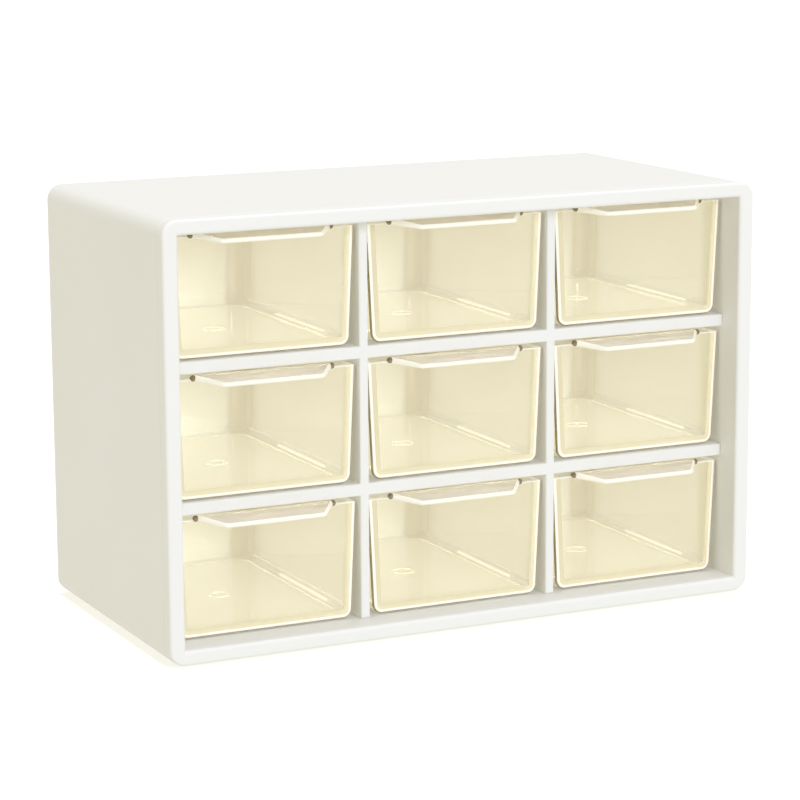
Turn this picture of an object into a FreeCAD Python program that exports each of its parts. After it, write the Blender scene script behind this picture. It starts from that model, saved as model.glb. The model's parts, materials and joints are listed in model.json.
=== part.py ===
import FreeCAD, Part
import math
import os

os.makedirs("parts", exist_ok=True)
Vector = FreeCAD.Vector

# Desktop drawer organizer: an off-white moulded housing with three rows of three clear tub
# drawers. Millimetres, +Z up, the drawer fronts face -Y, and the origin is on the table
# under the middle of the housing.

# Housing
casing_width = 184.0
casing_height = 122.0
casing_depth = 92.0
casing_wall = 2.2          # wall of the outer casing, also its back
long_edge_round = 4.4      # the four rounded edges that run front to back
back_edge_bevel = 0.8
seam_bevel = 0.25          # each lip of the groove where front frame and casing meet

# Front frame, which carries the liner that the partition grid sits in
frame_band = 4.1           # from the front face to the seam
frame_side = 4.6           # width of the frame's face at the left and right
frame_top = 4.3
frame_bottom = 4.2
frame_edge_round = 0.8     # outer edge of the front face
mouth_round = 1.0          # inner edge of the front face
liner_fit = 0.1            # play between liner and casing, each side
liner_end_gap = 0.3        # the liner stops this short of the casing's back

# Partition grid
columns = 3
rows = 3
divider = 2.7
shelf = 3.5
grid_recess = 8.3          # the grid's front edges lie this far behind the front face
grid_back = 2.2            # its back plate
grid_fit = 0.08            # play between grid and liner, each side
grid_edge_round = 0.5

# Drawers
drawer_setback = 10.3      # from the front face to the drawer's face at its rim
drawer_side_play = 0.45    # each side at the rim
drawer_lift = 0.15         # play under the drawer
drawer_headroom = 1.8      # from the rim up to the shelf above
drawer_back_play = 0.5
drawer_wall = 1.5
drawer_floor = 1.6
wall_draft = 2.8           # degrees, sides and back; the drawer's face stands plumb
tub_back_corner = 6.2      # upright corners at the back, outside
tub_floor_round = 2.8      # sides and back into the floor, outside
tub_front_round = 0.9      # round the edge of the drawer's face

# Pull: a lip that slopes forward from a low crest on the drawer's rim
pull_crest = 1.1           # above the rim
pull_crest_wall = 1.2      # thickness of the crest, which stands on the drawer's wall
pull_reach = 8.2           # forward of the drawer's face
pull_edge = 1.3            # height of the full-round front edge
pull_drop = 0.1            # its top lies this far below the rim at the front edge
pull_root = 1.9            # thickness where it leaves the drawer's face
pull_end_margin = 7.2      # from the drawer's side to the end of the crest
pull_taper = 5.8           # how far each end draws in toward the front
pull_corner = 2.0          # front corners, seen from above
pull_root_round = 1.6      # hollow where each end runs into the drawer's face
crest_end_round = 0.9

# Foot pads: thin strips stuck under the casing
pad_length = 16.0
pad_breadth = 7.0
pad_thickness = 0.8
pad_inset_side = 9.0
pad_inset_end = 8.0

# Places that follow from the sizes above
overrun = 5.0              # how far a cutting tool stands clear of what it cuts
nearly = 1e-4              # two places this close are the same place
casing_base = pad_thickness
casing_middle = casing_base + casing_height / 2
front_face = -casing_depth / 2
seam = front_face + frame_band
back_face = casing_depth / 2
casing_inside_back = back_face - casing_wall
grid_front = front_face + grid_recess
cell_back = casing_inside_back - grid_back
mouth_width = casing_width - 2 * frame_side
mouth_height = casing_height - frame_top - frame_bottom
mouth_floor = casing_base + frame_bottom
mouth_middle = mouth_floor + mouth_height / 2
cell_width = (mouth_width - (columns - 1) * divider) / columns
cell_height = (mouth_height - (rows - 1) * shelf) / rows
drawer_width = cell_width - 2 * drawer_side_play
drawer_height = cell_height - drawer_lift - drawer_headroom
drawer_front = front_face + drawer_setback
drawer_length = cell_back - drawer_back_play - drawer_front

row_names = ["bottom", "middle", "top"]
column_names = ["left", "centre", "right"]


def tangent(degrees):
    return math.tan(math.radians(degrees))


def runs_along(edge, direction, slant=0.1):
    """True for an edge that keeps near this direction, drafted ones included."""
    return abs(edge.tangentAt(edge.FirstParameter).dot(direction)) > 1 - slant


def bar(width, height, front, back, middle_z):
    """A square-cornered bar along Y, centred on the housing."""
    corner = Vector(-width / 2, front, middle_z - height / 2)
    return Part.makeBox(width, back - front, height, corner)


def rounded_bar(width, height, corner, front, back, middle_z):
    """The same bar with its four long edges rounded."""
    square = bar(width, height, front, back, middle_z)
    return square.makeFillet(corner, [e for e in square.Edges if runs_along(e, Vector(0, 1, 0))])


def edges_on_plane(shape, y):
    """Edges that lie wholly on the plane at this y."""
    found = []
    for edge in shape.Edges:
        box = edge.BoundBox
        if abs(box.YMin - y) < nearly and abs(box.YMax - y) < nearly:
            found.append(edge)
    return found


def edges_within(edges, half_width, middle_z, half_height):
    """The edges that keep inside a window seen from the front."""
    chosen = []
    for edge in edges:
        box = edge.BoundBox
        if max(abs(box.XMin), abs(box.XMax)) > half_width:
            continue
        if max(box.ZMax - middle_z, middle_z - box.ZMin) < half_height:
            chosen.append(edge)
    return chosen


def front_frame():
    """The frame round the mouth, with the liner that runs back inside the casing."""
    band = rounded_bar(casing_width, casing_height, long_edge_round, front_face, seam, casing_middle)
    band = band.makeFillet(frame_edge_round, edges_on_plane(band, front_face))
    band = band.makeChamfer(seam_bevel, edges_on_plane(band, seam))
    step = casing_wall + liner_fit
    liner_back = casing_inside_back - liner_end_gap
    liner = rounded_bar(casing_width - 2 * step, casing_height - 2 * step, long_edge_round - step,
                        seam - frame_band / 2, liner_back, casing_middle)
    body = band.fuse(liner).removeSplitter()
    mouth = bar(mouth_width, mouth_height, front_face - overrun, liner_back + overrun, mouth_middle)
    body = body.cut(mouth)
    rim = edges_within(edges_on_plane(body, front_face), mouth_width / 2 + nearly, mouth_middle,
                       mouth_height / 2 + nearly)
    return body.makeFillet(mouth_round, rim)


def outer_casing():
    """The casing: a deep tray with a closed back, pushed on over the liner from behind."""
    shell = rounded_bar(casing_width, casing_height, long_edge_round, seam, back_face, casing_middle)
    shell = shell.makeChamfer(back_edge_bevel, edges_on_plane(shell, back_face))
    shell = shell.makeChamfer(seam_bevel, edges_on_plane(shell, seam))
    hollow = rounded_bar(casing_width - 2 * casing_wall, casing_height - 2 * casing_wall,
                         long_edge_round - casing_wall, seam - overrun, casing_inside_back,
                         casing_middle)
    return shell.cut(hollow)


def cell_left(column):
    return -mouth_width / 2 + column * (cell_width + divider)


def cell_floor(row):
    return mouth_floor + row * (cell_height + shelf)


def cell_void(column, row):
    """The space of one cell; the outer cells run on past the grid, because the liner closes them."""
    left = cell_left(column)
    right = left + cell_width
    low = cell_floor(row)
    high = low + cell_height
    if column == 0:
        left -= overrun
    if column == columns - 1:
        right += overrun
    if row == 0:
        low -= overrun
    if row == rows - 1:
        high += overrun
    front = grid_front - overrun
    return Part.makeBox(right - left, cell_back - front, high - low, Vector(left, front, low))


def partition_grid():
    """Shelves, dividers and back plate in one moulding, slid into the liner from behind."""
    grid = bar(mouth_width - 2 * grid_fit, mouth_height - 2 * grid_fit, grid_front,
               casing_inside_back, mouth_middle)
    voids = [cell_void(column, row) for column in range(columns) for row in range(rows)]
    grid = grid.cut(voids[0].fuse(voids[1:]))
    return grid.makeFillet(grid_edge_round, edges_on_plane(grid, grid_front))


def frustum(low_z, low_box, high_z, high_box):
    """A solid between two level rectangles, each given as left, right, front and back."""
    left, right, front, back = low_box
    high_left, high_right, high_front, high_back = high_box
    lying = Part.makeWedge(left, low_z, -back, -high_back, high_left,
                           right, high_z, -front, -high_front, high_right)
    lying.rotate(Vector(0, 0, 0), Vector(1, 0, 0), 90)
    return lying


def tub_block(inset, low_z, high_z):
    """A drafted block with round back corners and a round edge between walls and floor.

    It is what three blocks share: one drafted all round whose upright back edges are
    rounded, one rounded along the sides of its floor, and one rounded along the back.
    """
    def half_width(z):
        return drawer_width / 2 - (drawer_height - z) * tangent(wall_draft) - inset

    def back(z):
        return drawer_length - (drawer_height - z) * tangent(wall_draft) - inset

    top = (-half_width(high_z), half_width(high_z), inset, back(high_z))
    low = (-half_width(low_z), half_width(low_z), inset, back(low_z))
    floor_round = tub_floor_round - inset
    drafted = frustum(low_z, low, high_z, top)
    uprights = [e for e in drafted.Edges
                if runs_along(e, Vector(0, 0, 1)) and e.CenterOfMass.y > drawer_length / 2]
    drafted = drafted.makeFillet(tub_back_corner - inset, uprights)
    trough = frustum(low_z, (low[0], low[1], inset, top[3]), high_z, top)
    sides = [e for e in trough.Edges
             if runs_along(e, Vector(0, 1, 0)) and e.BoundBox.ZMax < low_z + nearly]
    trough = trough.makeFillet(floor_round, sides)
    scoop = frustum(low_z, (top[0], top[1], inset, low[3]), high_z, top)
    heel = [e for e in scoop.Edges
            if e.BoundBox.ZMax < low_z + nearly and e.BoundBox.YMin > inset + nearly]
    scoop = scoop.makeFillet(floor_round, heel)
    return drafted.common(trough).common(scoop)


def pull_side_view():
    """The pull's section from crest to full-round front edge, as wide as the drawer."""
    rim = drawer_height
    edge_radius = pull_edge / 2
    edge_y = -pull_reach + edge_radius
    edge_top = Vector(0, edge_y, rim - pull_drop)
    edge_tip = Vector(0, -pull_reach, rim - pull_drop - edge_radius)
    edge_low = Vector(0, edge_y, rim - pull_drop - pull_edge)
    crest = rim + pull_crest
    lines = [Vector(0, pull_crest_wall, crest), Vector(0, 0, crest), edge_top]
    below = [edge_low, Vector(0, 0, crest - pull_root), Vector(0, pull_crest_wall, crest - pull_root)]
    outline = [Part.makeLine(a, b) for a, b in zip(lines, lines[1:])]
    outline.append(Part.Arc(edge_top, edge_tip, edge_low).toShape())
    outline += [Part.makeLine(a, b) for a, b in zip(below, below[1:] + lines[:1])]
    plate = Part.Face(Part.Wire(outline)).extrude(Vector(drawer_width, 0, 0))
    plate.translate(Vector(-drawer_width / 2, 0, 0))
    return plate


def pull_top_view():
    """The pull's outline from above: drawn-in ends, round front corners, hollow roots."""
    root = drawer_width / 2 - pull_end_margin
    tip = root - pull_taper
    height = drawer_height + 2 * pull_crest
    points = [Vector(-root, pull_crest_wall, 0), Vector(-root, 0, 0), Vector(-tip, -pull_reach, 0),
              Vector(tip, -pull_reach, 0), Vector(root, 0, 0), Vector(root, pull_crest_wall, 0)]
    lip = Part.Face(Part.makePolygon(points + points[:1])).extrude(Vector(0, 0, height))
    wall = Part.makeBox(drawer_width, pull_crest_wall, height, Vector(-drawer_width / 2, 0, 0))
    prism = lip.fuse(wall).removeSplitter()
    uprights = [e for e in prism.Edges if runs_along(e, Vector(0, 0, 1))]
    tips = [e for e in uprights if e.CenterOfMass.y < -pull_reach / 2]
    prism = prism.makeFillet(pull_corner, tips)
    roots = [e for e in prism.Edges if runs_along(e, Vector(0, 0, 1))
             and abs(e.CenterOfMass.y) < nearly and abs(e.CenterOfMass.x) < root + nearly]
    return prism.makeFillet(pull_root_round, roots)


def pull_front_view():
    """What the pull may fill seen from the front: a crest with round ends above the rim."""
    root = drawer_width / 2 - pull_end_margin
    front = -pull_reach - overrun
    depth = pull_crest_wall + overrun - front
    crest = Part.makeBox(2 * root, depth, pull_crest, Vector(-root, front, drawer_height))
    ends = [e for e in crest.Edges
            if runs_along(e, Vector(0, 1, 0)) and e.CenterOfMass.z > drawer_height + nearly]
    crest = crest.makeFillet(crest_end_round, ends)
    below = Part.makeBox(drawer_width, depth, drawer_height, Vector(-drawer_width / 2, front, 0))
    return crest.fuse(below).removeSplitter()


def drawer():
    """One drawer, its face at y = 0 and its underside at z = 0."""
    outside = tub_block(0.0, 0.0, drawer_height)
    face_edges = [e for e in edges_on_plane(outside, 0.0)
                  if e.BoundBox.ZMin < drawer_height - nearly]
    outside = outside.makeFillet(tub_front_round, face_edges)
    inside = tub_block(drawer_wall, drawer_floor, drawer_height + overrun)
    pull = pull_side_view().common(pull_top_view()).common(pull_front_view())
    return outside.cut(inside).fuse(pull).removeSplitter()


def foot_pad(side, end):
    """A strip under one corner of the casing."""
    x = side * (casing_width / 2 - pad_inset_side - pad_length / 2)
    y = end * (casing_depth / 2 - pad_inset_end - pad_breadth / 2)
    corner = Vector(x - pad_length / 2, y - pad_breadth / 2, 0)
    return Part.makeBox(pad_length, pad_breadth, pad_thickness, corner)


def save(name, shape):
    shape.exportStep("parts/" + name + ".step")


save("front_frame", front_frame())
save("outer_casing", outer_casing())
save("partition_grid", partition_grid())

one_drawer = drawer()
for row in range(rows):
    for column in range(columns):
        copy = one_drawer.copy()
        middle_x = cell_left(column) + cell_width / 2
        copy.translate(Vector(middle_x, drawer_front, cell_floor(row) + drawer_lift))
        save("drawer_" + row_names[row] + "_" + column_names[column], copy)

for side, side_name in [(-1, "left"), (1, "right")]:
    for end, end_name in [(-1, "front"), (1, "back")]:
        save("foot_pad_" + end_name + "_" + side_name, foot_pad(side, end))
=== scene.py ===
import json
import math

import bmesh
import bpy
import numpy as np
from bpy.props import FloatProperty, FloatVectorProperty, IntProperty, PointerProperty
from bpy.types import Operator, Panel, PropertyGroup
from mathutils import Matrix, Vector

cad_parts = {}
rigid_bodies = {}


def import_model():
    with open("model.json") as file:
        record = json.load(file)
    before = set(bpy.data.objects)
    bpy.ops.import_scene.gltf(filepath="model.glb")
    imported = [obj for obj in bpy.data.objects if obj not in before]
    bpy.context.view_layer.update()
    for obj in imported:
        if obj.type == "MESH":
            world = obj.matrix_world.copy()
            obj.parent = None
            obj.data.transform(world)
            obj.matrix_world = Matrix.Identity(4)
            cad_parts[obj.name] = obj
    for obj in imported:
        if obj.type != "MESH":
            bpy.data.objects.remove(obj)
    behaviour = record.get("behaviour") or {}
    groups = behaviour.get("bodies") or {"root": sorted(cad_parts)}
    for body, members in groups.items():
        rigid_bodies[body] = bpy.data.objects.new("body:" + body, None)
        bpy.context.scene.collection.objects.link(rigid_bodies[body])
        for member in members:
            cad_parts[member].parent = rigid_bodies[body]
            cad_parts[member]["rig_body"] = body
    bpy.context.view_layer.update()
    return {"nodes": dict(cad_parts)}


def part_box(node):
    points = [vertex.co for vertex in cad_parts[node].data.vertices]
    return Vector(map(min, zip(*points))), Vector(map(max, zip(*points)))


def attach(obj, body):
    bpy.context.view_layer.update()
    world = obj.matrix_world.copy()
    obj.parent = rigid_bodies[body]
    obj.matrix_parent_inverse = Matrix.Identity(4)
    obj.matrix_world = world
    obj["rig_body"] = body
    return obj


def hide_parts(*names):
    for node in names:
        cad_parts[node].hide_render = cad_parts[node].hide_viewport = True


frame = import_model()

bl_info = {
    "name": "Desktop Drawer Organizer",
    "version": (1, 0, 0),
    "blender": (4, 5, 0),
    "location": "3D View > Sidebar > Organizer",
    "description": "Dresses the moulded housing and its clear tinted drawers, and sets the studio",
    "category": "Object",
}

MM = 0.001
HOUSING_NODES = ("outer_casing", "front_frame", "partition_grid")
DRAWER_NODES = tuple(sorted(name for name in frame["nodes"] if name.startswith("drawer_")))
PAD_NODES = tuple(sorted(name for name in frame["nodes"] if name.startswith("foot_pad_")))

MERGE_DISTANCE = 1e-7
SAME_HEIGHT = 1e-9

# How finely the drawers' surfaces are divided, beside the arc steps of the sizes.
WALL_COLUMNS = 4
BODY_STATIONS = 7
RIM_STEPS = 3
PULL_COLUMNS = 41
RING_STEPS = 48
RING_WALL_STEPS = 12
KNOB_STEPS = 24
KNOB_TILT_STEPS = 12

# Share of the face's quarter turn that looks to the front, and of a fillet's that carries the painted
# highlight streak.
FRONT_SHARE = 0.4
PAINTED_STREAK_SHARE = 0.25
# Parts of the drawer's length between stations where the fillet carries the painted highlight streak.
PAINTED_STREAK_PARTS = slice(1, 4)
# How far behind the face the knob's middle lies, as a share of its radius.
KNOB_SETBACK = 0.3
# Where the pull's second row lies on its wall, as a share of the crest's depth.
CREST_ROW_SHARE = 0.4

# Share of lamp light that a surface lets through, and how strongly the depth tints it.
LAMP_KEPT = 0.975
DYE_DENSITY = 80.0


def linear(hex_colour):
    """Turns an sRGB hex colour to the linear red, green and blue that shaders want."""
    values = np.array([int(hex_colour[i:i + 2], 16) / 255 for i in (1, 3, 5)])
    return tuple(np.where(values <= 0.04045, values / 12.92, ((values + 0.055) / 1.055) ** 2.4).tolist())


class OrganizerSizes(PropertyGroup):
    """Sizes of the clear drawers, in metres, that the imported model's boxes don't give."""

    wall: FloatProperty(
        name="Wall", description="Thickness of a drawer's walls",
        default=1.5 * MM, min=0.5 * MM, subtype="DISTANCE")
    floor: FloatProperty(
        name="Floor", description="Thickness of a drawer's floor",
        default=1.6 * MM, min=0.5 * MM, subtype="DISTANCE")
    draft: FloatProperty(
        name="Draft", description="Lean of the side and back walls",
        default=math.radians(2.8), min=0.0, subtype="ANGLE")
    back_corner: FloatProperty(
        name="Back corner", description="Outside radius of the upright corners at the back",
        default=6.2 * MM, min=1 * MM, subtype="DISTANCE")
    floor_round: FloatProperty(
        name="Floor round", description="Outside radius between walls and floor",
        default=2.8 * MM, min=1 * MM, subtype="DISTANCE")
    inner_floor_round: FloatProperty(
        name="Inner floor round", description="Inside radius between walls and floor",
        default=2.6 * MM, min=0.5 * MM, subtype="DISTANCE")
    foot_gap: FloatProperty(
        name="Foot gap", description="Air film between a drawer's floor and its shelf",
        default=0.05 * MM, min=0.0, subtype="DISTANCE")
    face_round: FloatProperty(
        name="Face round", description="Radius round the edge of the drawer's face",
        default=0.9 * MM, min=0.1 * MM, subtype="DISTANCE")
    inner_face_round: FloatProperty(
        name="Inner face round", description="Radius inside, round the face",
        default=0.5 * MM, min=0.1 * MM, subtype="DISTANCE")
    rim_round: FloatProperty(
        name="Rim round", description="Radius of the rim's two edges",
        default=0.3 * MM, min=0.05 * MM, subtype="DISTANCE")
    pull_crest: FloatProperty(
        name="Pull crest", description="Height of the pull's crest above the rim",
        default=1.1 * MM, min=0.1 * MM, subtype="DISTANCE")
    pull_crest_wall: FloatProperty(
        name="Crest wall", description="How far back the crest stands on the drawer's wall",
        default=1.2 * MM, min=0.1 * MM, subtype="DISTANCE")
    pull_edge: FloatProperty(
        name="Pull edge", description="Height of the pull's round front edge",
        default=1.3 * MM, min=0.2 * MM, subtype="DISTANCE")
    pull_drop: FloatProperty(
        name="Pull drop", description="How far the front edge's top lies below the rim",
        default=0.1 * MM, min=0.0, subtype="DISTANCE")
    pull_root: FloatProperty(
        name="Pull root", description="Thickness of the pull where it leaves the face",
        default=1.9 * MM, min=0.2 * MM, subtype="DISTANCE")
    pull_end_margin: FloatProperty(
        name="Pull end margin", description="From the drawer's side to the end of the crest",
        default=7.2 * MM, min=1 * MM, subtype="DISTANCE")
    pull_taper: FloatProperty(
        name="Pull taper", description="How far each end of the pull draws in",
        default=5.8 * MM, min=0.0, subtype="DISTANCE")
    pull_corner: FloatProperty(
        name="Pull corner", description="Radius of the pull's front corners from above",
        default=2.0 * MM, min=0.1 * MM, subtype="DISTANCE")
    pull_root_round: FloatProperty(
        name="Pull root round", description="Hollow where each end runs into the face",
        default=1.6 * MM, min=0.1 * MM, subtype="DISTANCE")
    crest_end_round: FloatProperty(
        name="Crest end round", description="Radius of the crest's ends seen from the front",
        default=0.9 * MM, min=0.1 * MM, subtype="DISTANCE")
    crest_knob: FloatProperty(
        name="Crest knob", description="Diameter of the round knob at each end of the crest",
        default=1.8 * MM, min=0.2 * MM, subtype="DISTANCE")
    # The bright line round the face is a painted highlight: glowing near-opaque cream.
    edge_line: FloatProperty(
        name="Edge line", description="How far in the bright satin line round the face reaches",
        default=1.2 * MM, min=0.2 * MM, subtype="DISTANCE")
    wall_line: FloatProperty(
        name="Wall line", description="How far in the wall shows through the drawer's face",
        default=2.7 * MM, min=0.3 * MM, subtype="DISTANCE")
    gate_place: FloatProperty(
        name="Gate place", description="Where the gate mark lies, as a share of the length",
        default=0.46, min=0.1, max=0.9, subtype="FACTOR")
    gate_ring: FloatProperty(
        name="Gate ring", description="Diameter of the gate mark on the floor",
        default=5.8 * MM, min=0.5 * MM, subtype="DISTANCE")
    gate_ring_wall: FloatProperty(
        name="Gate ring wall", description="Thickness of the gate mark's ring",
        default=0.45 * MM, min=0.1 * MM, subtype="DISTANCE")
    face_behind_grid: FloatProperty(
        name="Face behind grid", description="How far the drawers' faces lie behind the grid's front",
        default=2.0 * MM, min=0.0, subtype="DISTANCE")
    arc_steps: IntProperty(
        name="Arc steps", description="Faces along a quarter turn",
        default=10, min=3, max=24)


class OrganizerColours(PropertyGroup):
    """Colours of the finishes."""

    housing: FloatVectorProperty(
        name="Housing", description="Off-white of the moulded housing",
        default=linear("#F8F8F6"), size=3, subtype="COLOR")
    clear: FloatVectorProperty(
        name="Clear plastic", description="Pale amber tint of the drawers",
        default=linear("#FEFCF1"), size=3, subtype="COLOR")
    pad: FloatVectorProperty(
        name="Pads", description="Grey-white of the foot pads",
        default=linear("#CCCCC7"), size=3, subtype="COLOR")
    floor: FloatVectorProperty(
        name="Studio floor", description="Plain white of the studio floor",
        default=linear("#FFFFFF"), size=3, subtype="COLOR")


def shade(colour, *factors):
    """The colour with each of its channels times a factor, as a node's input wants it."""
    return tuple(c * f for c, f in zip(colour, factors or (1, 1, 1))) + (1.0,)


def add_node(tree, kind, settings=None, **inputs):
    """Adds a node, sets its settings, and sets or links its inputs by name."""
    node = tree.nodes.new(kind)
    for name, value in (settings or {}).items():
        setattr(node, name, value)
    for name, value in inputs.items():
        socket = node.inputs[int(name[1:])] if name[1:].isdigit() else node.inputs[name.replace("_", " ")]
        if isinstance(value, bpy.types.NodeSocket):
            tree.links.new(value, socket)
        else:
            socket.default_value = value
    return node


def new_material(name):
    """An empty node material and its tree."""
    material = bpy.data.materials.new(name)
    material.use_nodes = True
    material.node_tree.nodes.clear()
    return material, material.node_tree


def per_metre(size_in_mm):
    """Scale of a noise whose blobs are about this size on Object coordinates."""
    return 1.0 / (size_in_mm * MM)


def moulded_abs(colour):
    """ABS, injection moulded against a polished and lightly blasted tool.

    It gives an even off-white with a soft satin shine, hardly uneven from place to place.
    """
    warmer = (0.985, 0.98, 0.965)
    material, tree = new_material("moulded_abs_off_white")
    place = add_node(tree, "ShaderNodeTexCoord").outputs["Object"]
    cloud = add_node(tree, "ShaderNodeTexNoise", Vector=place, Scale=per_metre(45), Detail=2.0)
    tone = add_node(tree, "ShaderNodeMix", {"data_type": "RGBA"}, Factor=cloud.outputs["Fac"],
                    _6=shade(colour), _7=shade(colour, *warmer))
    sheen = add_node(tree, "ShaderNodeMapRange", Value=cloud.outputs["Fac"], To_Min=0.46, To_Max=0.54)
    grain = add_node(tree, "ShaderNodeTexNoise", Vector=place, Scale=per_metre(0.35), Detail=3.0)
    bump = add_node(tree, "ShaderNodeBump", Height=grain.outputs["Fac"], Strength=0.05,
                    Distance=0.05 * MM)
    shader = add_node(tree, "ShaderNodeBsdfPrincipled", Base_Color=tone.outputs[2],
                      Roughness=sheen.outputs["Result"], IOR=1.53, Normal=bump.outputs["Normal"])
    add_node(tree, "ShaderNodeOutputMaterial", Surface=shader.outputs["BSDF"])
    return material


CLEAR, PAINTED_HIGHLIGHT, PAINTED_STREAK, WALL_END, CORNER, SLOPE, THICK_AND_GAP_SHADE = range(7)


def styrene(name, dye, lamp_tint, roughness, transmission, glow):
    """Polystyrene with an amber dye, injection moulded.

    dye colours what is seen through it, lamp_tint what lamp light keeps at each surface.
    The rest of what isn't transmitted is scattered. The glow is painted light: emission
    that makes the plastic shine though it is no lamp, in place of light piped along the walls.
    """
    deeper = (0.995, 0.99, 0.97)
    material, tree = new_material(name)
    place = add_node(tree, "ShaderNodeTexCoord").outputs["Object"]
    cloud = add_node(tree, "ShaderNodeTexNoise", Vector=place, Scale=per_metre(30), Detail=1.0)
    tone = add_node(tree, "ShaderNodeMix", {"data_type": "RGBA"}, Factor=cloud.outputs["Fac"],
                    _6=shade(dye), _7=shade(dye, *deeper))
    shader = add_node(tree, "ShaderNodeBsdfPrincipled", Base_Color=tone.outputs[2],
                      Roughness=roughness, IOR=1.57, Transmission_Weight=transmission,
                      Emission_Color=shade(linear("#FFF8E2")), Emission_Strength=glow)
    path = add_node(tree, "ShaderNodeLightPath")
    lamp = add_node(tree, "ShaderNodeBsdfTransparent", Color=shade(lamp_tint))
    mix = add_node(tree, "ShaderNodeMixShader", Fac=path.outputs["Is Shadow Ray"],
                   _1=shader.outputs["BSDF"], _2=lamp.outputs["BSDF"])
    depth = add_node(tree, "ShaderNodeVolumeAbsorption", Color=shade(lamp_tint), Density=DYE_DENSITY)
    add_node(tree, "ShaderNodeOutputMaterial", Surface=mix.outputs["Shader"],
             Volume=depth.outputs["Volume"])
    return material


def drawer_materials(colour):
    """The drawer's finishes, in the order of their numbers above."""
    lamp_tint = LAMP_KEPT * np.sqrt(colour)
    # Each glow below is painted light: an emission that brightens the plastic.
    return [
        # Polished faces: they bend and tint what lies behind them, and carry a faint painted glow.
        styrene("clear_amber_polystyrene", colour, lamp_tint,
                roughness=0.02, transmission=0.96, glow=0.072),
        # Face edges, rim and pull: a painted highlight, near-opaque glowing cream drawn as a bright line.
        styrene("painted_highlight_polystyrene", linear("#FFFDF6"), lamp_tint,
                roughness=0.22, transmission=0.1, glow=0.15),
        # Middle of the floor fillets: a painted highlight, a pale glowing streak in place of the lamp's
        # reflection.
        styrene("fillet_painted_streak_polystyrene", linear("#FFFDF6"), lamp_tint,
                roughness=0.22, transmission=0.1, glow=0.36),
        # The wall seen end on through the face: a deeper amber band inside the cream line.
        styrene("wall_end_polystyrene", linear("#F3E9C6"), lamp_tint,
                roughness=0.2, transmission=0.3, glow=0.08),
        # The round back corners: an upright amber shade where the wall turns.
        styrene("corner_polystyrene", linear("#F8EAAE"), lamp_tint,
                roughness=0.04, transmission=0.92, glow=0.075),
        # The pull's upper and lower faces: tan between its two painted highlight lines.
        styrene("pull_polystyrene", linear("#F8F2E4"), lamp_tint,
                roughness=0.05, transmission=0.7, glow=0.06),
        # Thick places seen along the plastic: the dye's full depth, a dark dot on the knobs. On the face's
        # edge, where it turns out of sight, the dark line is partly the dye and partly painted shade of
        # the gap round the drawer.
        styrene("thick_amber_and_gap_shade_polystyrene", linear("#94845C"), lamp_tint,
                roughness=0.1, transmission=0.35, glow=0.0),
    ]


def die_cut_rubber(colour):
    """Thin rubber sheet, die cut: matt, with a faint open grain."""
    material, tree = new_material("die_cut_rubber")
    place = add_node(tree, "ShaderNodeTexCoord").outputs["Object"]
    grain = add_node(tree, "ShaderNodeTexNoise", Vector=place, Scale=per_metre(0.6), Detail=3.0)
    tone = add_node(tree, "ShaderNodeMix", {"data_type": "RGBA"}, Factor=grain.outputs["Fac"],
                    _6=shade(colour), _7=shade(colour, 0.9, 0.9, 0.9))
    bump = add_node(tree, "ShaderNodeBump", Height=grain.outputs["Fac"], Strength=0.3,
                    Distance=0.05 * MM)
    shader = add_node(tree, "ShaderNodeBsdfPrincipled", Base_Color=tone.outputs[2],
                      Roughness=0.85, IOR=1.5, Normal=bump.outputs["Normal"])
    add_node(tree, "ShaderNodeOutputMaterial", Surface=shader.outputs["BSDF"])
    return material


def light_table(colour, glow):
    """Opal acrylic sheet over lamps, as product studios use: plain, matt, white and faintly lit."""
    material, tree = new_material("opal_acrylic_light_table")
    place = add_node(tree, "ShaderNodeTexCoord").outputs["Object"]
    grain = add_node(tree, "ShaderNodeTexNoise", Vector=place, Scale=per_metre(3), Detail=2.0)
    tone = add_node(tree, "ShaderNodeMix", {"data_type": "RGBA"}, Factor=grain.outputs["Fac"],
                    _6=shade(colour), _7=shade(colour, 0.995, 0.995, 0.995))
    shader = add_node(tree, "ShaderNodeBsdfPrincipled", Base_Color=tone.outputs[2], Roughness=0.9,
                      Emission_Color=shade(linear("#FFFFFF")), Emission_Strength=glow)
    add_node(tree, "ShaderNodeOutputMaterial", Surface=shader.outputs["BSDF"])
    return material


def dress(node, material):
    """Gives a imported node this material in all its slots."""
    piece = frame["nodes"][node]
    if not piece.material_slots:
        piece.data.materials.append(material)
    for slot in piece.material_slots:
        slot.material = material


def quads(rows, columns, start=0):
    """Faces of a grid of points, row by row."""
    first = start + np.arange(rows - 1)[:, None] * columns + np.arange(columns - 1)[None, :]
    return np.stack([first, first + 1, first + columns + 1, first + columns], -1).reshape(-1, 4)


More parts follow.
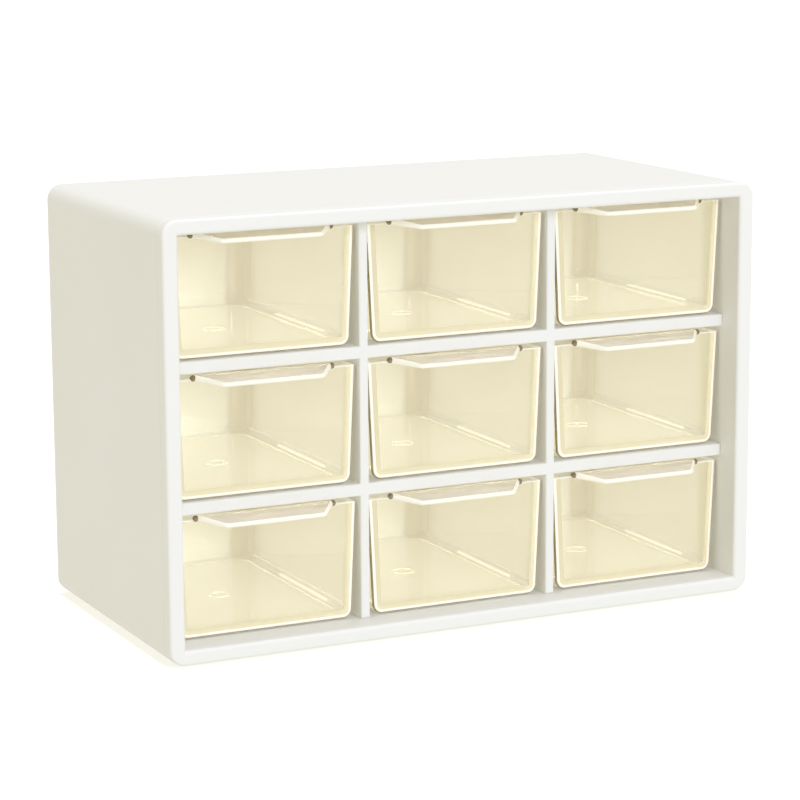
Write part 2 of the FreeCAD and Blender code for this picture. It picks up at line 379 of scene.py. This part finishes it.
def build_mesh(name, grids, caps=(), finishes=None):
    """One closed mesh from grids of points, each rows by columns by 3, and flat caps.

    finishes holds the finish of a grid's faces under the grid's number, as one number or
    as an array of them; the rest are clear. Points that meet are merged, and the faces
    are turned outwards.
    """
    points = []
    faces = []
    finish = []
    finishes = finishes or {}
    start = 0
    for number, grid in enumerate(grids):
        rows, columns = grid.shape[:2]
        points.append(grid.reshape(-1, 3))
        faces += quads(rows, columns, start).tolist()
        kinds = np.broadcast_to(finishes.get(number, CLEAR), (rows - 1, columns - 1))
        finish += kinds.ravel().tolist()
        start += rows * columns
    for cap in caps:
        points.append(cap)
        faces.append(list(range(start, start + len(cap))))
        finish.append(CLEAR)
        start += len(cap)
    mesh = bpy.data.meshes.new(name)
    mesh.from_pydata(np.concatenate(points).tolist(), [], faces)
    mesh.polygons.foreach_set("material_index", np.array(finish, np.int32))
    work = bmesh.new()
    work.from_mesh(mesh)
    bmesh.ops.remove_doubles(work, verts=work.verts, dist=MERGE_DISTANCE)
    bmesh.ops.dissolve_degenerate(work, edges=work.edges, dist=MERGE_DISTANCE)
    bmesh.ops.recalc_face_normals(work, faces=work.faces)
    open_edges = [edge for edge in work.edges if not edge.is_manifold]
    work.to_mesh(mesh)
    work.free()
    if open_edges:
        raise RuntimeError(f"{name} has {len(open_edges)} open edges")
    return mesh


def arc(steps):
    """Angles along a quarter turn."""
    return math.pi / 2 * np.linspace(0.0, 1.0, steps + 1)


def full_turn(steps):
    """Angles once round, with the first place again at the end."""
    return 2 * math.pi * np.arange(steps + 1) / steps


class TubSkin:
    """One skin of a drawer, outside or inside, before its walls are drafted.

    half, length: half the width and the length at the rim. low, top: floor and upper edge.
    near: the face's plane. Radii: back (upright back corners), base (walls to floor) and
    face (round the drawer's face). lines: how far in the face's two border lines reach.
    """

    def __init__(self, half, near, far, low, top, back, base, face, lines, steps):
        self.half, self.near, self.far, self.low, self.top = half, near, far, low, top
        self.back, self.base, self.face = back, base, face
        self.lines, self.steps = lines, steps

    def side_profile(self, inset):
        """Half a section seen from the front, from the rim down to the floor.

        The wall runs straight down, then turns inward along an arc whose centre stays
        put while the inset draws wall and floor inward. Columns are x, z.
        """
        turn = arc(self.steps)
        radius = self.base - inset
        centre_x = self.half - self.base
        centre_z = self.low + self.base
        wall = np.linspace(self.top, centre_z, WALL_COLUMNS + 1)[:-1]
        straight = np.stack([np.full_like(wall, self.half - inset), wall], -1)
        bend = np.stack([centre_x + radius * np.cos(turn), centre_z - radius * np.sin(turn)], -1)
        return np.concatenate([straight, bend])

    def grids(self):
        """The skin's surfaces, and its two flat caps: the face and the floor."""
        turn = arc(self.steps)
        insets = self.face * (1 - np.sin(turn))
        depths = self.near + self.face * (1 - np.cos(turn))
        band = np.stack([self.section(y, inset) for y, inset in zip(depths, insets)])
        border = np.stack([self.section(self.near, inset) for inset in (self.face,) + self.lines])
        corner_y = self.far - self.back
        stations = np.linspace(self.near + self.face, corner_y, BODY_STATIONS)
        body = np.stack([self.section(y, 0.0) for y in stations])
        profile = self.side_profile(0.0)
        axis_x = self.half - self.back
        reach = profile[:, 0] - axis_x
        sweep = turn[:, None]
        right = np.stack([axis_x + reach * np.cos(sweep), corner_y + reach * np.sin(sweep),
                          np.broadcast_to(profile[:, 1], (len(turn), len(profile)))], -1)
        left = right * np.array([-1.0, 1.0, 1.0])
        rear = np.stack([left[-1], right[-1]])
        face = border[-1]
        floor_line = body[-1][np.abs(body[-1][:, 2] - self.low) < SAME_HEIGHT]
        floor = np.concatenate([floor_line, right[1:, -1], left[1:, -1][::-1]])
        return [band, border, body, right, left, rear], [face, floor]

    def section(self, y, inset):
        """A whole section at one depth, from the left rim under to the right rim."""
        profile = self.side_profile(inset)
        left = profile * np.array([-1.0, 1.0])
        line = np.concatenate([left, profile[::-1]])
        return np.stack([line[:, 0], np.full(len(line), y), line[:, 1]], -1)

    def rim(self):
        """The upper edge as a loop of points, once round from the left of the face."""
        grids, _ = self.grids()
        band, border, body, right, left, rear = grids
        sides = [band[:, 0], body[1:, 0], left[1:, 0], right[::-1, 0], body[::-1, -1][1:],
                 band[::-1, -1][1:], border[1:, -1], border[:0:-1, 0]]
        return np.concatenate(sides)


def rim_strip(outer, inner, top, round_off, steps):
    """The rim between two loops: a quarter round up, a flat, and a quarter round down.

    Each row lies between the loops by a share of the wall's thickness.
    """
    turn = arc(steps)
    wall = np.linalg.norm(outer - inner, axis=1).min()
    share = round_off / wall
    up = share * (1 - np.cos(turn))
    shares = np.concatenate([up, 1 - up[::-1]])
    rise = round_off * np.sin(turn)
    heights = top - round_off + np.concatenate([rise, rise[::-1]])
    rows = outer[None] + (inner - outer)[None] * shares[:, None, None]
    rows[..., 2] = heights[:, None]
    return np.concatenate([rows, rows[:, :1]], 1)


def drafted(points, half, length, height, draft):
    """Leans the side and back walls: a point moves in with its depth below the rim.

    Sideways it moves in step with its place across the half width, and lengthwise in
    step with its place along the length, so that the face stays upright.
    """
    moved = points.copy()
    lean = np.maximum(height - points[..., 2], 0.0) * math.tan(draft)
    moved[..., 0] -= lean * points[..., 0] / half
    moved[..., 1] -= lean * np.clip(points[..., 1] / length, 0.0, 1.0)
    return moved


def tub_mesh(sizes, width, length, height):
    """A drawer without its pull: outside skin, inside skin and the rim between them."""
    half = width / 2
    top = height - sizes.rim_round
    outer_lines = (sizes.edge_line, sizes.wall_line)
    inner_lines = ((sizes.edge_line + sizes.inner_face_round) / 2, sizes.edge_line)
    outer = TubSkin(half, 0.0, length, sizes.foot_gap, top, sizes.back_corner, sizes.floor_round,
                    sizes.face_round, outer_lines, sizes.arc_steps)
    wall = sizes.wall
    inner = TubSkin(half - wall, wall, length - wall, sizes.floor, top, sizes.back_corner - wall,
                    sizes.inner_floor_round, sizes.inner_face_round, inner_lines, sizes.arc_steps)
    outer_grids, outer_caps = outer.grids()
    inner_grids, inner_caps = inner.grids()
    rim = rim_strip(outer.rim(), inner.rim(), height, sizes.rim_round, RIM_STEPS)
    grids = outer_grids + inner_grids + [rim]
    caps = outer_caps + inner_caps
    lean = [drafted(grid, half, length, height, sizes.draft) for grid in grids]
    flat = [drafted(cap, half, length, height, sizes.draft) for cap in caps]
    return build_mesh("tub", lean, flat, tub_finishes(sizes, len(outer_grids)))


def tub_finishes(sizes, skin_grids):
    """Which of the tub's grids, in the order tub_mesh lists them, aren't plain clear.

    The face's round edge and the rim carry the painted highlight, and the edge is dark
    where it turns out of sight: partly the dye, partly painted shade of the gap round the drawer.
    The middle of each fillet along the floor carries a painted highlight streak for the middle
    half of the drawer's length.
    """
    face_band, border, body, right, left = range(5)
    front_steps = int(FRONT_SHARE * sizes.arc_steps)
    columns = 2 * (WALL_COLUMNS + sizes.arc_steps) + 1
    fillets = np.full((BODY_STATIONS - 1, columns), CLEAR)
    inset = WALL_COLUMNS + front_steps
    streak = int(PAINTED_STREAK_SHARE * sizes.arc_steps)
    # The middle of each floor fillet is a painted highlight streak.
    fillets[PAINTED_STREAK_PARTS, inset:inset + streak] = PAINTED_STREAK
    fillets[PAINTED_STREAK_PARTS, -inset - streak:-inset] = PAINTED_STREAK
    edge = np.full((sizes.arc_steps, 1), PAINTED_HIGHLIGHT)
    # Rows turning out of sight are dark: painted shade of the gap round the drawer, with the dye's depth.
    edge[front_steps:] = THICK_AND_GAP_SHADE
    rim = 2 * skin_grids
    return {
        face_band: edge,
        border: np.array([[PAINTED_HIGHLIGHT], [WALL_END]]),
        right: CORNER,
        left: CORNER,
        skin_grids + body: fillets,
        rim: PAINTED_HIGHLIGHT,
    }


def pull_outline(sizes, root, tip, reach):
    """Half the pull's outline from above, from the wall to the middle of its front.

    A hollow arc leaves the face, a straight end runs forward and inward, and a round
    corner turns into the straight front. Columns are x, y.
    """
    slant = Vector((tip - root, -reach)).normalized()
    face_angle = math.acos(max(-1.0, min(1.0, slant.dot(Vector((1.0, 0.0))))))
    hollow_reach = sizes.pull_root_round / math.tan(face_angle / 2)
    start = Vector((root + hollow_reach, 0.0))
    end = Vector((root, 0.0)) + slant * hollow_reach
    centre = Vector((start.x, -sizes.pull_root_round))
    first = math.atan2(start.y - centre.y, start.x - centre.x)
    last = math.atan2(end.y - centre.y, end.x - centre.x)
    steps = sizes.arc_steps
    turn = np.linspace(first, last, steps + 1)
    hollow = np.stack([centre.x + sizes.pull_root_round * np.cos(turn),
                       centre.y + sizes.pull_root_round * np.sin(turn)], -1)
    front_angle = math.acos(max(-1.0, min(1.0, slant.dot(Vector((-1.0, 0.0))))))
    corner_reach = sizes.pull_corner * math.tan(front_angle / 2)
    corner_start = Vector((tip, -reach)) - slant * corner_reach
    normal = Vector((-slant.y, slant.x)) * -1.0
    corner_centre = corner_start + normal * sizes.pull_corner
    first = math.atan2(corner_start.y - corner_centre.y, corner_start.x - corner_centre.x)
    turn = np.linspace(first, -math.pi / 2, steps + 1)
    corner = np.stack([corner_centre.x + sizes.pull_corner * np.cos(turn),
                       corner_centre.y + sizes.pull_corner * np.sin(turn)], -1)
    back = np.array([[start.x, sizes.pull_crest_wall], [start.x, CREST_ROW_SHARE * sizes.pull_crest_wall]])
    return np.concatenate([back, hollow, corner])


def pull_mesh(sizes, width, height, reach):
    """The pull: a wedge with a full-round edge, from crest to front.

    Seen from above it has the outline; at each place the edge turns from the under face
    to the upper face through a half circle whose height follows the wedge's thickness.
    """
    root = width / 2 - sizes.pull_end_margin
    tip = root - sizes.pull_taper
    outline = pull_outline(sizes, root, tip, reach)
    edge = sizes.pull_edge / 2
    turn = np.linspace(-math.pi / 2, math.pi / 2, 2 * sizes.arc_steps + 1)
    inward = edge * (1 - np.cos(turn))
    tangent = np.gradient(outline, axis=0)
    tangent /= np.linalg.norm(tangent, axis=1)[:, None]
    inside = np.stack([tangent[:, 1], -tangent[:, 0]], -1)
    inside[:2] = 0.0
    rows = outline[None] + inward[:, None, None] * inside[None]
    y = rows[..., 1]
    along = np.clip(-y / (reach - edge), 0.0, 1.0)
    upper = height + sizes.pull_crest + (-sizes.pull_drop - sizes.pull_crest) * along
    root_low = height + sizes.pull_crest - sizes.pull_root
    lower = root_low + (height - sizes.pull_drop - sizes.pull_edge - root_low) * along
    upper = np.minimum(upper, crest_ceiling(rows[..., 0], sizes, root, height))
    z = (upper + lower) / 2 + (upper - lower) / 2 * np.sin(turn)[:, None]
    right = np.stack([rows[..., 0], y, z], -1)
    left = right * np.array([-1.0, 1.0, 1.0])
    columns = np.linspace(-1.0, 1.0, PULL_COLUMNS)
    crest = np.stack([right[-1, :3] * [c, 1, 1] for c in columns])
    slope = np.stack([right[-1, 2:] * [c, 1, 1] for c in columns])
    bottom = np.stack([right[0] * [c, 1, 1] for c in columns])
    front = np.stack([right[:, -1] * [c, 1, 1] for c in columns])
    rear = np.stack([right[:, 0] * [c, 1, 1] for c in columns])
    # The pull's ends, front and crest carry the painted highlight.
    finishes = {number: PAINTED_HIGHLIGHT for number in range(4)} | {4: SLOPE, 5: SLOPE}
    return build_mesh("pull", [right, left, front, crest, slope, bottom, rear], finishes=finishes)


def crest_ceiling(x, sizes, root, height):
    """Highest place the pull may reach at this x: round at the crest's ends, then the rim."""
    radius = sizes.crest_end_round
    past = np.clip(np.abs(x) - (root - radius), 0.0, radius)
    arch = height + sizes.pull_crest - radius + np.sqrt(radius ** 2 - past ** 2)
    return np.where(np.abs(x) > root, height - sizes.rim_round, arch)


def gate_ring_mesh(sizes, place_y, floor_top):
    """The mark of the moulding gate: a low half-round ring on the drawer's floor.

    A circle of the ring's thickness is carried round the ring, half sunk in the floor.
    """
    around_ring = full_turn(RING_STEPS)
    across = full_turn(RING_WALL_STEPS)
    radius = sizes.gate_ring / 2 + sizes.gate_ring_wall / 2 * np.cos(across)
    x = radius[None] * np.cos(around_ring)[:, None]
    y = place_y + radius[None] * np.sin(around_ring)[:, None]
    z = floor_top + sizes.gate_ring_wall / 2 * np.sin(across)
    ring = np.stack([x, y, np.broadcast_to(z, x.shape)], -1)
    return build_mesh("gate_ring", [ring])


def crest_knob_mesh(sizes, side, width, height):
    """The round knob that ends the crest: a ball, its rows turned from pole to pole."""
    turn = full_turn(KNOB_STEPS)
    tilt = math.pi * np.arange(KNOB_TILT_STEPS + 1) / KNOB_TILT_STEPS
    radius = sizes.crest_knob / 2
    x = side * (width / 2 - sizes.pull_end_margin) + radius * np.sin(tilt)[:, None] * np.cos(turn)
    y = KNOB_SETBACK * radius + radius * np.sin(tilt)[:, None] * np.sin(turn)
    z = height + sizes.pull_crest - radius + radius * np.cos(tilt)[:, None] + 0.0 * turn
    return build_mesh("crest_knob", [np.stack([x, y, z], -1)], finishes={0: THICK_AND_GAP_SHADE})


def joined(base, extra, name, materials):
    """The union of two closed meshes, whose faces keep their materials."""
    body = bpy.data.objects.new(name, base)
    other = bpy.data.objects.new(name + "_extra", extra)
    for piece in (body, other):
        bpy.context.scene.collection.objects.link(piece)
        for material in materials[len(piece.data.materials):]:
            piece.data.materials.append(material)
    union = body.modifiers.new("union", "BOOLEAN")
    union.operation = "UNION"
    union.solver = "EXACT"
    union.object = other
    graph = bpy.context.evaluated_depsgraph_get()
    mesh = bpy.data.meshes.new_from_object(body.evaluated_get(graph))
    bpy.data.objects.remove(body)
    bpy.data.objects.remove(other)
    mesh.name = name
    return mesh


def smooth_by_angle(piece, degrees):
    """Smooth shading across rounds only, with each flat keeping its own direction."""
    piece.data.shade_smooth()
    piece.data.set_sharp_from_angle(angle=math.radians(degrees))
    weighted = piece.modifiers.new("weighted", "WEIGHTED_NORMAL")
    weighted.keep_sharp = True
    weighted.weight = 100


class ORGANIZER_OT_finish_housing(Operator):
    """Give the casing, the front frame and the partition grid their moulded plastic"""

    bl_idname = "organizer.finish_housing"
    bl_label = "Finish Housing"

    def execute(self, context):
        material = moulded_abs(context.scene.organizer_colours.housing)
        for node in HOUSING_NODES:
            dress(node, material)
        return {"FINISHED"}


class ORGANIZER_OT_build_drawers(Operator):
    """Build the nine clear drawers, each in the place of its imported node"""

    bl_idname = "organizer.build_drawers"
    bl_label = "Build Drawers"

    smooth_degrees = 35

    def execute(self, context):
        sizes = context.scene.organizer_sizes
        colour = context.scene.organizer_colours.clear
        materials = drawer_materials(colour)
        low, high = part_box(DRAWER_NODES[0])
        width = high.x - low.x
        height = high.z - low.z - sizes.pull_crest
        reach = self.pull_reach(low, sizes)
        length = high.y - low.y - reach
        tub = tub_mesh(sizes, width, length, height)
        pull = pull_mesh(sizes, width, height, reach)
        extras = [pull, gate_ring_mesh(sizes, sizes.gate_place * length, sizes.floor)]
        extras += [crest_knob_mesh(sizes, side, width, height) for side in (-1, 1)]
        whole = tub
        for extra in extras:
            whole = joined(whole, extra, "clear_drawer", materials)
        for node in DRAWER_NODES:
            low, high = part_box(node)
            mesh = whole.copy()
            mesh.name = "clear_" + node
            mesh.transform(Matrix.Translation(((low.x + high.x) / 2, low.y + reach, low.z)))
            piece = bpy.data.objects.new("clear_" + node, mesh)
            context.scene.collection.objects.link(piece)
            smooth_by_angle(piece, self.smooth_degrees)
            body = frame["nodes"][node]["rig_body"]
            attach(piece, body)
            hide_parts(node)
        return {"FINISHED"}

    def pull_reach(self, low, sizes):
        """How far the pull stands forward of the drawer's face."""
        grid_low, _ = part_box("partition_grid")
        return grid_low.y + sizes.face_behind_grid - low.y


class ORGANIZER_OT_finish_pads(Operator):
    """Give the four foot pads their rubber"""

    bl_idname = "organizer.finish_pads"
    bl_label = "Finish Foot Pads"

    def execute(self, context):
        material = die_cut_rubber(context.scene.organizer_colours.pad)
        for node in PAD_NODES:
            dress(node, material)
        return {"FINISHED"}


def soft_box(name, place, aim, size, power, colour):
    """A square studio light that looks at a point."""
    lamp = bpy.data.lights.new(name, "AREA")
    lamp.shape = "SQUARE"
    lamp.size = size
    lamp.energy = power
    lamp.color = linear(colour)
    rig = bpy.data.objects.new(name, lamp)
    bpy.context.scene.collection.objects.link(rig)
    rig.location = place
    rig.rotation_euler = (Vector(aim) - Vector(place)).to_track_quat("-Z", "Y").to_euler()
    return rig


def around(centre, azimuth, elevation, distance):
    """A place at this distance from the centre, at an azimuth from straight ahead."""
    turn, rise = math.radians(azimuth), math.radians(elevation)
    way = Vector((math.sin(turn) * math.cos(rise), -math.cos(turn) * math.cos(rise), math.sin(rise)))
    return Vector(centre) + way * distance


class ORGANIZER_OT_set_stage(Operator):
    """Set the floor, the studio light and the camera"""

    bl_idname = "organizer.set_stage"
    bl_label = "Set Stage"

    camera_place = (-0.36309, -0.74594, 0.22148)
    camera_azimuth = -25.94
    camera_elevation = 11.11
    camera_roll = -0.30
    focal_pixels = 2868.4
    frame_pixels = 800
    film_width = 36.0
    nearest_seen = 0.01
    floor_reach = 9.0
    table_glow = 0.25
    world_strength = 0.73
    world_colour = "#FFFCEB"
    backdrop_colour = "#FFFFFF"
    aim = (0.0, 0.0, 0.06)
    key_azimuth = 5
    key_elevation = 20
    light_distance = 2.8
    key_size = 1.0
    key_power = 28.2
    key_colour = "#D5DFFF"
    sky_strength = 0.935
    sky_colour = "#DEE1FF"
    sky_spread = 12
    clear_bounces = 32
    glossy_bounces = 24
    diffuse_bounces = 12

    def execute(self, context):
        scene = context.scene
        self.add_floor(scene)
        self.add_light(scene)
        self.add_camera(scene)
        scene.view_settings.view_transform = "Standard"
        scene.cycles.max_bounces = self.clear_bounces
        scene.cycles.transmission_bounces = self.clear_bounces
        scene.cycles.glossy_bounces = self.glossy_bounces
        scene.cycles.diffuse_bounces = self.diffuse_bounces
        scene.cycles.transparent_max_bounces = self.glossy_bounces
        return {"FINISHED"}

    def add_floor(self, scene):
        reach = self.floor_reach
        corners = [(-reach, -reach, 0), (reach, -reach, 0), (reach, reach, 0), (-reach, reach, 0)]
        mesh = bpy.data.meshes.new("studio_floor")
        mesh.from_pydata(corners, [], [(0, 1, 2, 3)])
        floor = bpy.data.objects.new("studio_floor", mesh)
        scene.collection.objects.link(floor)
        mesh.materials.append(light_table(scene.organizer_colours.floor, self.table_glow))
        floor.visible_diffuse = False

    def add_light(self, scene):
        """The lights. The camera sees the world as a white backdrop, all else as its warm light."""
        world = bpy.data.worlds.new("studio")
        world.use_nodes = True
        tree = world.node_tree
        tree.nodes.clear()
        light = add_node(tree, "ShaderNodeBackground", Color=shade(linear(self.world_colour)),
                         Strength=self.world_strength)
        backdrop = add_node(tree, "ShaderNodeBackground", Color=shade(linear(self.backdrop_colour)))
        path = add_node(tree, "ShaderNodeLightPath")
        seen = add_node(tree, "ShaderNodeMixShader", _0=path.outputs["Is Camera Ray"],
                        _1=light.outputs["Background"], _2=backdrop.outputs["Background"])
        add_node(tree, "ShaderNodeOutputWorld", Surface=seen.outputs["Shader"])
        scene.world = world
        place = around(self.aim, self.key_azimuth, self.key_elevation, self.light_distance)
        soft_box("key_softbox", place, self.aim, self.key_size, self.key_power, self.key_colour)
        sky = bpy.data.lights.new("overhead_silk", "SUN")
        sky.angle = math.radians(self.sky_spread)
        sky.energy = self.sky_strength
        sky.color = linear(self.sky_colour)
        scene.collection.objects.link(bpy.data.objects.new("overhead_silk", sky))

    def add_camera(self, scene):
        azimuth = math.radians(self.camera_azimuth)
        elevation = math.radians(self.camera_elevation)
        roll = math.radians(self.camera_roll)
        forward = Vector((-math.sin(azimuth) * math.cos(elevation),
                          math.cos(azimuth) * math.cos(elevation), -math.sin(elevation)))
        level = Vector((math.cos(azimuth), math.sin(azimuth), 0.0))
        upright = level.cross(forward)
        right = level * math.cos(roll) + upright * math.sin(roll)
        up = upright * math.cos(roll) - level * math.sin(roll)
        turned = Matrix((right, up, -forward)).transposed().to_4x4()
        lens = bpy.data.cameras.new("photo_camera")
        lens.sensor_fit = "HORIZONTAL"
        lens.sensor_width = self.film_width
        lens.lens = self.focal_pixels * self.film_width / self.frame_pixels
        lens.clip_start = self.nearest_seen
        camera = bpy.data.objects.new("photo_camera", lens)
        camera.matrix_world = Matrix.Translation(self.camera_place) @ turned
        scene.collection.objects.link(camera)
        scene.camera = camera


class ORGANIZER_PT_panel(Panel):
    """Lists the organizer's sizes, colours and steps"""

    bl_label = "Drawer Organizer"
    bl_idname = "ORGANIZER_PT_panel"
    bl_space_type = "VIEW_3D"
    bl_region_type = "UI"
    bl_category = "Organizer"

    def draw(self, context):
        layout = self.layout
        for group in (context.scene.organizer_sizes, context.scene.organizer_colours):
            box = layout.box()
            for name in group.__annotations__:
                box.prop(group, name)
        for step in STEPS:
            layout.operator(step.bl_idname)


STEPS = (
    ORGANIZER_OT_finish_housing,
    ORGANIZER_OT_build_drawers,
    ORGANIZER_OT_finish_pads,
    ORGANIZER_OT_set_stage,
)
CLASSES = (OrganizerSizes, OrganizerColours) + STEPS + (ORGANIZER_PT_panel,)


def register():
    for kind in CLASSES:
        bpy.utils.register_class(kind)
    bpy.types.Scene.organizer_sizes = PointerProperty(type=OrganizerSizes)
    bpy.types.Scene.organizer_colours = PointerProperty(type=OrganizerColours)


def unregister():
    del bpy.types.Scene.organizer_colours
    del bpy.types.Scene.organizer_sizes
    for kind in reversed(CLASSES):
        bpy.utils.unregister_class(kind)


def main():
    register()
    bpy.ops.organizer.finish_housing()
    bpy.ops.organizer.build_drawers()
    bpy.ops.organizer.finish_pads()
    bpy.ops.organizer.set_stage()


if __name__ == "__main__":
    main()
